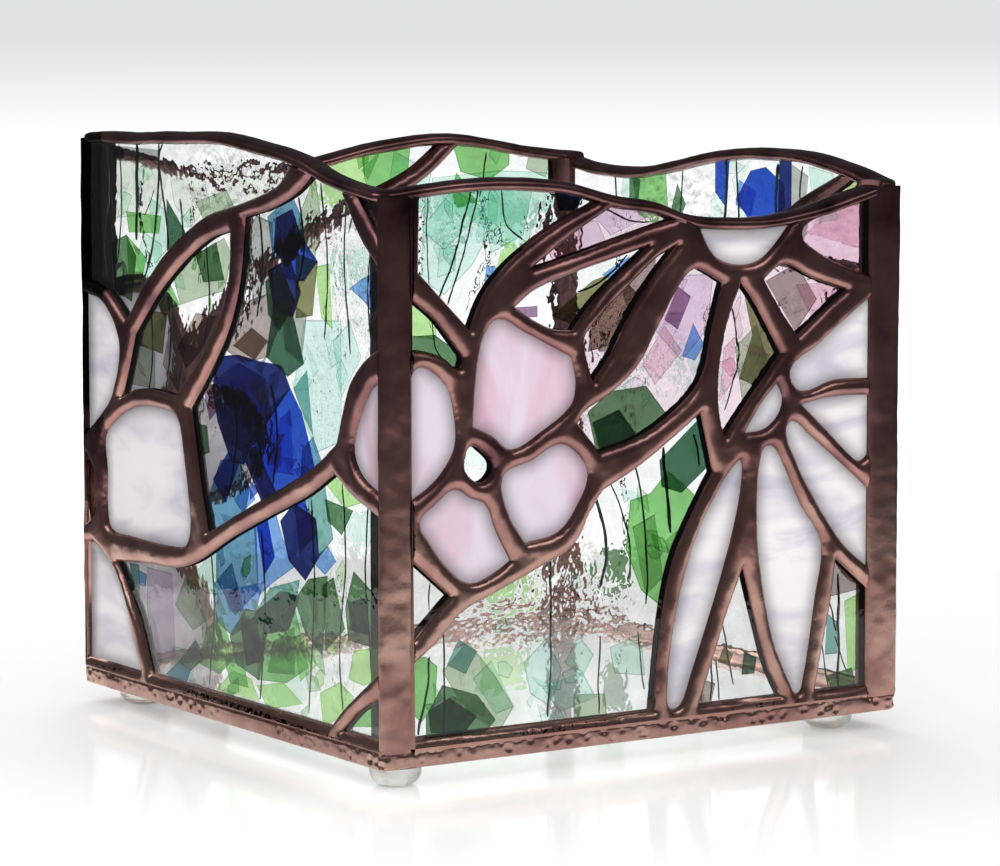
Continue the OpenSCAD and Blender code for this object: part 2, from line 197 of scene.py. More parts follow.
def table_material(name, glossy):
    """A white table that fades to grey far away, painted shade where the light falls off, and glows with its
    own colour, painted light that lifts the shadows on it. The middle is glossy.
    """
    material, tree, shader = new_material(name)
    away = tree.new("VectorMath", {0: tree.place()}, "Value", operation="LENGTH")
    white = (0.74, 0.735, 0.725) if glossy else (0.60, 0.60, 0.595)
    colour = tree.ramp(tree.remap(away, (0.4, 3.2), (0, 1)), (0, white), (1, (0.42, 0.425, 0.43)))
    tree.set(shader, {
        # The emission is painted light that lifts the shadows on the table
        "Base Color": colour, "Emission Color": colour, "Emission Strength": 0.36 if glossy else 0.55,
        "Roughness": 0.1 if glossy else 1, "Specular IOR Level": 0.7 if glossy else 0})
    return material


def table_part(name, start, end, inner, outer, glossy, seen_through):
    """A sector of the table between two angles in degrees and two distances in metres."""
    steps = max(4, round((end - start) / 5))
    angles = [math.radians(start + (end - start) * k / steps) for k in range(steps + 1)]
    verts = [(inner * math.cos(a), inner * math.sin(a), 0) for a in angles]
    verts += [(outer * math.cos(a), outer * math.sin(a), 0) for a in angles]
    mesh = bpy.data.meshes.new(name)
    mesh.from_pydata(verts, [], [(k, steps + 1 + k, steps + 2 + k, k + 1) for k in range(steps)])
    mesh.materials.append(table_material(name, glossy))
    table = bpy.data.objects.new(name, mesh)
    bpy.context.scene.collection.objects.link(table)
    table.visible_glossy = glossy
    table.visible_transmission = seen_through


def add_stage():
    """A pale table. The panes don't see the sectors that they would mirror to the camera."""
    reach, far = 0.22, 9
    table_part("table_middle", 0, 360, 0.0001, reach, True, True)
    table_part("table_ahead", -29, 95, reach, far, False, True)
    table_part("table_back_left", 95, 151, reach, far, False, False)
    table_part("table_behind", 151, 275, reach, far, False, True)
    table_part("table_front_right", 275, 331, reach, far, False, False)


def add_world():
    """A pale room, dim where the solder mirrors it or the panes would mirror it to the camera."""
    world = bpy.data.worlds.new("room")
    bpy.context.scene.world = world
    tree = Tree(world)
    world.cycles.sampling_method = "NONE"
    pale = tree.nodes["Background"]
    tree.set(pale, {"Color": (0.94, 0.95, 0.96, 1), "Strength": 1.3})
    dim = tree.new("Background", {"Color": (0.5, 0.5, 0.55, 1), "Strength": 0.16})
    ways = {0: tree.place("Generated"), 1: MIRRORED}
    facing = tree.new("VectorMath", ways, "Value", operation="DOT_PRODUCT")
    lobe = tree.remap(tree.math("ABSOLUTE", facing), (0.78, 0.92), (0, 1))
    path = tree.nodes.new("ShaderNodeLightPath").outputs
    refracted, glossy = path["Is Transmission Ray"], path["Is Glossy Ray"]
    reflected = tree.math("SUBTRACT", glossy, refracted, use_clamp=True)
    hidden = tree.math("MAXIMUM", tree.math("MULTIPLY", refracted, lobe), reflected)
    tree.end("World Output", hidden, pale.outputs[0], dim)


# ---- Meshes ----

def wobble(p, size, seed=0.0):
    """Smooth noise from about -1 to 1 at a point in millimetres, whose waves are about `size` across."""
    return noise.noise(Vector(p) / size + Vector((seed, seed * 1.7, -seed)))


def share(x):
    """A number held between 0 and 1."""
    return max(0, min(1, x))


def add_piece(name, verts, faces, material, smooth_deg=50):
    """A mesh piece from points in millimetres."""
    mesh = bpy.data.meshes.new(name)
    mesh.from_pydata([Vector(p) * MM for p in verts], [], faces)
    mesh.materials.append(material)
    mesh.shade_smooth()
    mesh.set_sharp_from_angle(angle=math.radians(smooth_deg))
    piece = bpy.data.objects.new(name, mesh)
    bpy.context.scene.collection.objects.link(piece)
    return piece


def welded(node):
    """A CAD node's mesh with its shared corners joined."""
    mesh = bmesh.new()
    mesh.from_mesh(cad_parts[node].data)
    bmesh.ops.remove_doubles(mesh, verts=mesh.verts, dist=0.002 * MM)
    return mesh


def faces_at(mesh, wall, level):
    """The faces that lie in one plane of a wall, and look away from the glass."""
    side = 1 if level >= 0 else -1
    return [f for f in mesh.faces if f.normal.dot(wall.out) * side > 0.99
            and abs(wall.flat(f.calc_center_median()).z - level) < 0.02]


def edges_round(faces, wall):
    """The edges round a flat region as pairs of flat points, with the region on their left."""
    inside = set(faces)
    pairs = []
    for face in faces:
        for loop in face.loops:
            if sum(f in inside for f in loop.edge.link_faces) == 1:
                a, b = wall.flat(loop.vert.co), wall.flat(loop.link_loop_next.vert.co)
                pairs.append((a.xy, b.xy))
    return pairs


def flat_tree(meshes, wall, level):
    """A search tree over every face of these CAD meshes that lies in one plane of a wall."""
    points, polygons = [], []
    for mesh in meshes:
        for face in faces_at(mesh, wall, level):
            polygons.append(range(len(points), len(points) + len(face.verts)))
            points += [wall.flat(v.co).xy.to_3d() for v in face.verts]
    return BVHTree.FromPolygons(points, [list(p) for p in polygons]) if polygons else None


# Reach of a point that lies on a face, and of a triangle's middle that lies in a pane
ON_FACE = 0.001
IN_PANE = 0.02


def near(tree, p, reach):
    """Whether a flat point is within reach of a tree's faces."""
    return tree is not None and tree.find_nearest(p.to_3d(), reach)[0] is not None


def lattice(low, high, step):
    """Points of a triangular lattice over a rectangle."""
    row_step = step * math.sqrt(3) / 2
    for j in range(int((high.y - low.y) / row_step) + 1):
        for i in range(int((high.x - low.x) / step) + 1):
            yield Vector((low.x + (i + j % 2 / 2) * step, low.y + j * row_step))


def corners_of(points):
    """Lowest and highest corner of the rectangle round flat points."""
    across, up = [p.x for p in points], [p.y for p in points]
    return Vector((min(across), min(up))), Vector((max(across), max(up)))


def point_tree(points):
    """A search tree over flat points."""
    tree = KDTree(len(points))
    for k, p in enumerate(points):
        tree.insert(p.to_3d(), k)
    tree.balance()
    return tree


def carry_over(cad_faces, verts, faces, swell=0.0):
    """Adds CAD faces to the points and faces of a piece, moved outwards by `swell`."""
    number = {}
    for face in cad_faces:
        for v in face.verts:
            if v not in number:
                number[v] = len(verts)
                verts.append(v.co / MM + v.normal * swell)
        faces.append(tuple(number[v] for v in face.verts))


def centre_of(points, triangle):
    """The middle of a triangle of point numbers."""
    return (points[triangle[0]] + points[triangle[1]] + points[triangle[2]]) / 3


# ---- Solder ----

# A bead's height, and how far from its edge it reaches it
CROWN_H = 1.2
CROWN_REACH = 2.0
# How far a bead's edge is sunk in the glass, and the spacing of the marks along it
SUNK = 0.03
RIM_STEP = 0.15
# How far a bead runs under the solder that it joins
OVERLAP = {"front": 1.1, "back": 1.1, "left": 0.45, "right": 0.45}


def crown(away, p):
    """Height of a bead of solder at a distance from its edge: domed, with slow lumps and fine wrinkles."""
    t = min(away / CROWN_REACH, 1)
    dome = math.sqrt(1 - (1 - t) ** 2)
    lumps = 1 + 0.20 * wobble(p, 6) + 0.08 * wobble(p, 2.6, 7)
    return CROWN_H * dome * lumps + 0.015 * dome * wobble(p, 0.9, 3)


def solder_cap(wall, mesh, others, level, step):
    """The domed top of the beads on one face of a wall, as points and faces."""
    side = 1 if level >= 0 else -1
    base = (0 if side > 0 else GLASS) - SUNK
    own = flat_tree([mesh], wall, level)
    joined = flat_tree(others, wall, level)
    points, index, edges, free, ends = [], {}, [], [], []

    def number(p):
        key = (round(p.x, 3), round(p.y, 3))
        if key not in index:
            index[key] = len(points)
            points.append(p)
        return index[key]

    for a, b in edges_round(faces_at(mesh, wall, level), wall):
        if (b - a).length < 0.004:
            continue
        edges.append((number(a), number(b)))
        across = Vector(((b - a).y, -(b - a).x)).normalized() * side
        if near(joined, (a + b) / 2 + across * 0.2, 0.05):
            ends.append((a, b, across))
            continue
        count = max(1, int((b - a).length / RIM_STEP))
        free += [a.lerp(b, k / count) for k in range(count)]
    free_tree, rim_tree = point_tree(free), point_tree(points)
    clear = 0.4 * step
    for p in lattice(*corners_of(points), step):
        spot = p.to_3d()
        if near(own, p, ON_FACE) and free_tree.find(spot)[2] > clear and rim_tree.find(spot)[2] > clear:
            points.append(p)
    made, _, triangles, *_ = delaunay_2d_cdt(points, edges, [], 0, 1e-5, False)
    out = []
    for p in made:
        away = free_tree.find(p.to_3d())[2]
        height = crown(away, wall.point(p.x, p.y, level)) if away > 0.02 else 0.0
        out.append(wall.point(p.x, p.y, side * (base + height)))
    faces = [t if side > 0 else t[::-1] for t in triangles if near(own, centre_of(made, t), ON_FACE)]
    lap = OVERLAP[wall.name]
    for a, b, across in ends:
        first = len(out)
        for p, reach, sink in ((a, 0, 0), (b, 0, 0), (b, lap, 0.35), (a, lap, 0.35)):
            height = crown(free_tree.find(p.to_3d())[2], wall.point(p.x, p.y, level)) - sink
            q = p + across * reach
            out.append(wall.point(q.x, q.y, side * (base + height)))
        quad = tuple(range(first, first + 4))
        faces.append(quad[:1] + quad[:0:-1] if side > 0 else quad)
    return out, faces


def add_seams(wall, material):
    """The beads and webs of one wall: the CAD webs between the panes, under a domed bead on each face."""
    node = wall.name + "_seams"
    mesh = welded(node)
    others = [welded(n) for n in SOLDER_NODES if n != node]
    verts, faces = [], []
    for level, step in ((OUTER, 0.45), (INNER, 0.7)):
        more, sides = solder_cap(wall, mesh, others, level, step)
        faces += [tuple(len(verts) + i for i in f) for f in sides]
        verts += more
    web = [f for f in mesh.faces if -GLASS - SUNK < wall.flat(f.calc_center_median()).z < SUNK]
    carry_over(web, verts, faces, SUNK)
    finish_solder(add_piece(wall.name + "_solder", verts, faces, material), node)


def finish_solder(piece, *nodes):
    """Gives a solder piece its patina and painted shade by place, hangs it under the root body and hides the
    CAD nodes that it stands for.
    """
    mesh = piece.data
    attribute = mesh.attributes.new("patina", "FLOAT", "POINT")
    for k, vertex in enumerate(mesh.vertices):
        attribute.data[k].value = patina(vertex.co / MM)
    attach(piece, "root")
    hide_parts(*nodes)


def patina(p):
    """How dark the solder is at a point in millimetres: 0 on bright copper, 1 where it is nearly black. It
    grows slowly upwards, steps up above about 40 mm and near the rim, and varies at random as patina does;
    painted shade makes the solder inside the box nearly black away from the back and right walls, a little
    darker by them, and darker up the back left corner post.
    """
    depth = min(p.x - BOX_LOW.x, BOX_HIGH.x - p.x, p.y - BOX_LOW.y, BOX_HIGH.y - p.y)
    high = p.z - BOX_LOW.z
    far_side = max(p.x - BOX_HIGH.x, p.y - BOX_HIGH.y) > -9
    # Painted shade: the solder inside the box, away from the back and right walls, is nearly black, as it
    # stands in shade behind the glass
    if depth > 1.4 and 5.5 < high < 92 and not far_side:
        return 1.6
    upper = share((high - 39.5) / 5) * 0.16
    top = share((high - 88) / 6) * 0.17
    # Painted shade: the solder inside by the back and right walls is a little darker
    inside = 0.12 if depth > 1.4 and 5.5 < high < 92 else 0
    # Painted shade: the back left corner post darkens upwards, as it stands in shade seen through the glass
    corner = p.x < BOX_LOW.x + 9 and p.y > BOX_HIGH.y - 9
    painted_corner_shade = share((high - 35) / 30) * 0.8 if corner else 0
    return 0.16 + 0.0013 * high + upper + top + inside + painted_corner_shade + 0.2 * wobble(p, 9, 11)


CORNER_R = 2.2
SIDE_STEPS = 300
CORNER_STEPS = 6


def ring_round(inset, radius):
    """Points once round the box, `inset` in from its outer faces, with corners of this radius."""
    half = Vector((BOX_HIGH.x - inset - radius, BOX_HIGH.y - inset - radius))
    corners = [Vector((-1, -1)), Vector((1, -1)), Vector((1, 1)), Vector((-1, 1))]

    def on_arc(corner, angle):
        return corner * half + radius * Vector((math.cos(angle), math.sin(angle)))

    loop = []
    for k, corner in enumerate(corners):
        start = math.radians(180 + 90 * k)
        arc = [on_arc(corner, start + math.pi / 2 * i / CORNER_STEPS) for i in range(CORNER_STEPS + 1)]
        stop = on_arc(corners[(k + 1) % 4], start + math.pi / 2)
        loop += arc + [arc[-1].lerp(stop, i / SIDE_STEPS) for i in range(1, SIDE_STEPS)]
    return loop


def tube_faces(rows, count, closed=False):
    """Quads between rings of `count` points: along a tube, or all the way round a closed one."""
    faces = []
    for r in range(rows):
        low, high = r * count, ((r + 1) % rows if closed else r + 1) * count
        for k in range(count):
            following = (k + 1) % count
            faces.append((low + k, low + following, high + following, high + k))
    return faces


def sweep_round(name, section, height_at, material, shape, *nodes):
    """A band of solder once round the box. The section is (how far in, height, corner radius) points."""
    middle = ring_round(2.5, 1)
    tops = [height_at(p) for p in middle]
    verts = []
    for inset, up, radius in section:
        for k, p in enumerate(ring_round(inset, radius)):
            spot = Vector((p.x, p.y, tops[k] + up))
            verts.append(shape(spot, inset, up, tops[k]))
    faces = tube_faces(len(section), len(tops), True)
    finish_solder(add_piece(name, verts, faces, material), *nodes)


def top_finder():
    """A function that gives the height of the CAD rim at a point."""
    tree = BVHTree.FromBMesh(welded("rim_bead"))

    def height(p):
        hit = tree.ray_cast(Vector((p.x, p.y, 200)) * MM, -UP)
        return hit[0].z / MM
    return height


def add_rim(material):
    """The bead along the wavy top edge: a rounded band with lumps, over the tops of the panes."""
    centre, half_w, half_h, squareness = 2.5, 2.6, 1.2, 0.8

    def power(x):
        return math.copysign(abs(x) ** squareness, x)

    section = []
    for k in range(20):
        angle = 2 * math.pi * k / 20
        inset = centre - half_w * power(math.cos(angle))
        radius = max(0.4, CORNER_R - inset * 0.6 + 0.8)
        section.append((inset, half_h * power(math.sin(angle)) - 1.15, radius))

    def shape(spot, inset, up, top):
        heart = Vector((spot.x, spot.y, top - 1.15))
        lumps = 1 + 0.08 * wobble(heart, 7, 2) + 0.04 * wobble(spot, 2, 5)
        return Vector((spot.x, spot.y, heart.z + (spot.z - heart.z) * lumps + 0.25 * wobble(heart, 14, 9)))

    sweep_round("rim_solder", section, top_finder(), material, shape, "rim_bead")


def dimples(spot):
    """Depth of the pits that the iron left in the rail."""
    cells = noise.voronoi(spot / 1.7)[0]
    patch = share(0.7 + 1.6 * wobble(spot, 16, 4))
    return patch * 0.55 * max(0, 0.55 - cells[0]) / 0.55


def add_rail(material):
    """The rail of solder round the base: outer face, lip under the glass and bead inside the walls."""
    low = BOX_LOW.z
    section = [
        (-0.02, 2.9, 0.8), (0.35, 3.5, 0.6), (1.0, 3.6, 0.5), (4.0, 3.6, 0.5), (4.1, 4.5, 0.5),
        (5.0, 4.85, 0.5), (6.4, 4.6, 0.5), (7.6, 3.8, 0.5), (8.0, 3.1, 0.5), (1.0, 3.1, 0.3),
        (1.0, 0.4, 0.3), (2.5, 0.4, 0.3), (2.4, 0.08, 0.3), (1.6, -0.02, 0.4), (0.7, 0.0, 0.6),
        (0.2, 0.18, 0.8)]
    section += [(-0.1 * math.sin(math.pi * k / 9), 0.4 + 2.5 * k / 9, 0.9) for k in range(9)]

    def outwards(way):
        """-1, 0 or 1: whether a point lies on one of the box's two faces across an axis."""
        return round(way, 0) if abs(way) > 0.985 else 0

    def shape(spot, inset, up, top):
        if inset < 0.6:
            away = Vector((outwards(spot.x / BOX_HIGH.x), outwards(spot.y / BOX_HIGH.y), 0))
            spot = spot + away * (0.14 * wobble(spot, 6, 8) + 0.05 * wobble(spot, 1.5, 3) - dimples(spot))
        return spot

    sweep_round("rail_solder", section, lambda p: low, material, shape, "base_rail")


def post_section():
    """Section of a corner post from the box's outer corner: (across the front or back, across the side)."""
    cover = [
        (7.05, 1.05), (6.8, 0.45), (6.2, 0.1), (5.2, -0.06), (4.1, -0.1), (3.0, -0.08), (2.0, -0.04),
        (1.1, 0.0), (0.5, 0.06), (0.12, 0.3), (-0.02, 0.7), (0.1, 1.02), (1.0, 1.05)]
    inner = BEAD + GLASS
    wide, radius = 7.2, 2.2
    angles = [math.pi / 2 * k / 8 for k in range(8, -1, -1)]
    fillet = [(wide - radius * math.sin(a), wide - radius * math.cos(a)) for a in angles]
    end = [(wide, inner), (inner + 0.4, inner), (inner + 0.4, 1.05)]
    return cover + [(inner, 1.05), (inner, wide)] + fillet + end


def add_post(name, x_side, y_side, top_at, material, node):
    """One corner post, with lumps along it and a ridge where two runs of solder met."""
    section = post_section()
    low, high = BOX_LOW.z + 3.0, top_at(Vector((x_side * 55.5, y_side * 53.5))) - 1.2
    rows = int((high - low) / 0.6)
    verts = []
    for r in range(rows + 1):
        z = low + (high - low) * r / rows
        for a, b in section:
            p = Vector((x_side * (BOX_HIGH.x - a), y_side * (BOX_HIGH.y - b), z))
            if b < 1 and a < 7:
                lumps = 0.22 * wobble(p, 7, 1) + 0.10 * wobble(p, 2.5, 6) + 0.03 * wobble(p, 0.8, 2)
                p.y += y_side * lumps * min(1, (7 - a) / 1.5)
                p.x += x_side * (0.35 * max(0, wobble((0, 0, z), 9, 3 + x_side)) if a < 1 else 0)
            verts.append(p)
    count = len(section)
    first, last = list(range(count)), [rows * count + k for k in range(count)]
    faces = [first[::-1], last] + tube_faces(rows, count)
    if x_side * y_side < 0:
        faces = [f[::-1] for f in faces]
    finish_solder(add_piece(name, verts, faces, material), node)


def solder_material():
    """Copper-plated solder: dark aubergine patina, worn to pinkish copper, and darkened further by the
    painted shade in the patina attribute.
    """
    material, tree, shader = new_material("copper_patina")
    place = tree.place()
    blotch = tree.noise(place, 110, 4, Roughness=0.55)
    # The patina attribute carries painted shade as well as patina
    age = tree.math("SUBTRACT", tree.math("MULTIPLY_ADD", blotch, 0.9, tree.attribute("patina")), 0.45)
    tree.set(shader, {
        "Base Color": tree.ramp(
            age, (0.0, (0.52, 0.33, 0.27)), (0.28, (0.40, 0.215, 0.185)), (0.55, (0.25, 0.12, 0.118)),
            (0.8, (0.10, 0.045, 0.05)), (1.0, (0.006, 0.004, 0.004))),
        "Roughness": tree.remap(age, (0, 1), (0.26, 0.36)), "Metallic": 1.0,
        "Normal": tree.bump(tree.noise(place, 900, 3), 0.12, 0.0002)})
    return material


def add_solder():
    """All the solder."""
    material = solder_material()
    for wall in WALLS.values():
        add_seams(wall, material)
    add_rim(material)
    add_rail(material)
    top_at = top_finder()
    for y_name, y_side in (("front", -1), ("back", 1)):
        for x_name, x_side in (("left", -1), ("right", 1)):
            place = f"{y_name}_{x_name}"
            add_post("post_" + place, x_side, y_side, top_at, material, "corner_seam_" + place)


# ---- Glass ----

def see_through(name, tint, ripple_scale, ripple, roughness, line_strength):
    """Glass that shows what is behind it. Its colour comes from the attribute tint, times this one."""
    material, tree, shader = new_material(name)
    place, grain = tree.place(), tree.attribute("grain")
    shade = tree.ramp(tree.noise(place, 260, 3), (0.3, tuple(c * 0.86 for c in tint)), (0.7, tuple(tint)))
    flakes = tree.attribute("tint", "Color")
    both = {"Factor": 1, "A": shade, "B": flakes}
    colour = tree.new("Mix", both, "Result", data_type="RGBA", blend_type="MULTIPLY")
    # Painted shade: thin dark lines where the rolled texture bends the light away
    crease = tree.math("PINGPONG", tree.noise(place, 560, 2.5, Distortion=0.9), 0.07)
    patch = tree.math("MULTIPLY", tree.remap(crease, (0.002, 0.011), (line_strength, 0)), grain)
    both = {"Factor": patch, "A": colour, "B": (0.012, 0.02, 0.02, 1)}
    dark = tree.new("Mix", both, "Result", data_type="RGBA")
    depth = tree.remap(grain, (0, 1), (ripple * 0.1, ripple))
    tree.set(shader, {
        "Base Color": dark, "Normal": tree.bump(tree.noise(place, ripple_scale), depth, 0.0005),
        "Transmission Weight": 1, "Roughness": roughness, "IOR": 1.5})
    let_light_through(tree, shader, dark)
    return material


def let_light_through(tree, shader, colour):
    """Lamps shine through the glass, so it throws a tinted shadow."""
    clear = tree.new("BsdfTransparent", {"Color": colour})
    tree.end("Material Output", tree.new("LightPath", {}, "Is Shadow Ray"), shader.outputs[0], clear)


def opal_material(name, pale, streak, seed, stretch):
    """Opal glass: milky, with soft wisps of a second colour, and lit a little from behind. Painted shade
    darkens it near its outline, and on the left wall through the tint attribute.
    """
    material, tree, shader = new_material(name)
    place = tree.place()
    turned = tree.new("Mapping", {"Vector": place, "Location": (seed, seed, seed), "Scale": stretch})
    wisps = tree.ramp(tree.noise(turned, 1, 5, Distortion=0.8), (0.42, pale), (0.7, streak))
    # Painted shade: darker towards the pane's outline, as in the shade of the solder round it
    edge = tree.remap(tree.attribute("grain"), (0.05, 0.95), (1, 0.5), interpolation_type="SMOOTHSTEP")
    darker = tree.new("VectorMath", {0: wisps, "Scale": edge}, operation="SCALE")
    toned = tree.new("VectorMath", {0: darker, 1: tree.attribute("tint", "Color")}, operation="MULTIPLY")
    ripples = tree.bump(tree.noise(place, 90), 0.2, 0.0006)
    tree.set(shader, {"Base Color": toned, "Roughness": 0.1, "Normal": ripples})
    glow = tree.new("BsdfTranslucent", {"Color": toned})
    tree.end("Material Output", 0.3, shader.outputs[0], glow)
    return material


# Colours of the fused flakes and streaks: what is left of white light behind one of them
PALETTE = {
    "mint": (0.66, 0.88, 0.78), "aqua": (0.7, 0.89, 0.85), "pale": (0.86, 0.9, 0.82),
    "teal": (0.22, 0.45, 0.42), "leaf": (0.25, 0.56, 0.2), "lime": (0.5, 0.78, 0.34),
    "moss": (0.12, 0.24, 0.12), "pine": (0.06, 0.15, 0.09), "sage": (0.5, 0.6, 0.45),
    "olive": (0.26, 0.27, 0.13), "royal": (0.02, 0.08, 0.5), "sky": (0.22, 0.42, 0.8),
    "navy": (0.015, 0.03, 0.16), "steel": (0.14, 0.32, 0.48), "grey": (0.45, 0.47, 0.45),
    "taupe": (0.42, 0.36, 0.34), "lilac": (0.82, 0.74, 0.85), "plum": (0.36, 0.22, 0.36),
    "rose": (0.88, 0.67, 0.74), "brown": (0.25, 0.17, 0.13),
}

# Large flakes of each wall: colour, then u and v of each corner of the outline
FLAKES = {}
FLAKES["front"] = [
    ("aqua", 9, 88, 10, 103, 21, 104, 24, 96, 20, 90, 14, 85),
    ("mint", 21, 104, 33, 103.5, 31, 95, 24, 92), ("mint", 9, 97, 16, 104, 23, 100, 14, 93),
    ("navy", 37.5, 103.5, 45, 102.5, 42, 99, 38.5, 99), ("sky", 22.5, 86, 23, 90, 28, 88.5),
    ("lime", 7, 85, 12, 82, 12.5, 77, 7, 78), ("moss", 7, 78, 12, 78, 18, 74, 16, 71, 7, 75),
    ("leaf", 7, 20, 10, 20, 12.5, 18, 12, 11, 9, 8, 7, 10),
    ("moss", 13.5, 14.5, 21, 12, 25, 7, 23, 5, 10, 5, 10, 9),
    ("sage", 13.5, 17, 19, 22, 25, 15, 29, 9, 26, 5, 20, 8, 16, 13),
    ("teal", 14.5, 18, 17, 22.5, 21, 20, 18.5, 16), ("pine", 10.5, 10, 15, 12, 21, 8, 18, 5, 11, 6),
    ("mint", 20, 15, 24, 18, 29, 9, 25, 8), ("aqua", 31, 17, 36, 21, 39.5, 15, 37, 8, 32.5, 11),
    ("mint", 40, 16, 43, 21, 46.5, 17, 44, 13), ("aqua", 35, 12, 44, 14, 47, 9, 39, 7),
    ("sage", 42, 10, 49, 9.5, 49.5, 5, 42, 5), ("mint", 50, 18, 57, 20, 58, 12, 51, 13),
    ("leaf", 54.5, 45, 59, 46, 63, 50, 69, 45, 64.5, 37, 61, 25, 57, 28, 53.5, 36),
    ("sage", 55, 40, 60, 42, 62, 30, 58, 27), ("pine", 61, 52, 66, 56, 71, 60, 72, 50, 66, 45.5, 61.5, 47),
    ("lilac", 42, 97, 47, 97, 49, 93, 44, 91), ("lilac", 46, 98, 54, 100, 58, 97, 50, 94),
    ("rose", 36, 92, 43, 96, 44, 91, 38, 89), ("plum", 29, 82, 34, 82, 34, 80, 30, 80),
    ("olive", 37, 80, 46, 86, 50, 87, 42, 78), ("sky", 48, 87, 54, 90, 55, 89, 50, 86),
    ("brown", 46, 79, 54, 85, 57, 82, 50, 74, 45, 73), ("taupe", 52, 85, 60, 90, 60, 86, 54, 80),
    ("moss", 45, 62, 50, 65.5, 58, 66, 63, 60, 56, 56, 47, 54), ("pine", 46, 60, 52, 62, 56, 57, 48, 54),
    ("lilac", 60, 76, 66, 86, 73, 86, 72, 76, 66, 70), ("sky", 66, 71, 68.5, 77, 71, 73, 69, 70),
    ("plum", 62, 78, 65, 84, 68, 82, 65, 76), ("rose", 57, 70, 62, 77, 66, 72, 60, 66),
    ("rose", 74.5, 62, 75.5, 72, 78, 74, 78, 66), ("olive", 80, 82, 88, 71, 84, 64, 79, 66, 82, 74),
    ("sage", 78, 72, 83, 76, 86, 68, 80, 60), ("taupe", 85, 84, 92, 87, 97, 80, 92, 74),
    ("rose", 92, 83, 104, 83, 96, 76), ("pine", 80, 10, 80.5, 14.5, 83.5, 13, 83, 10),
    ("olive", 74.5, 13, 76, 16, 78, 14, 77, 12), ("taupe", 70, 5, 71, 10, 74, 9, 73, 5),
    ("taupe", 99, 30, 104, 30, 108, 24, 100, 23), ("teal", 99.5, 12, 100, 20, 102.5, 18, 102.5, 12),
    ("lime", 104, 22, 110, 24, 110, 9, 105, 8), ("moss", 100, 8, 106, 9, 107, 5, 101, 5)]
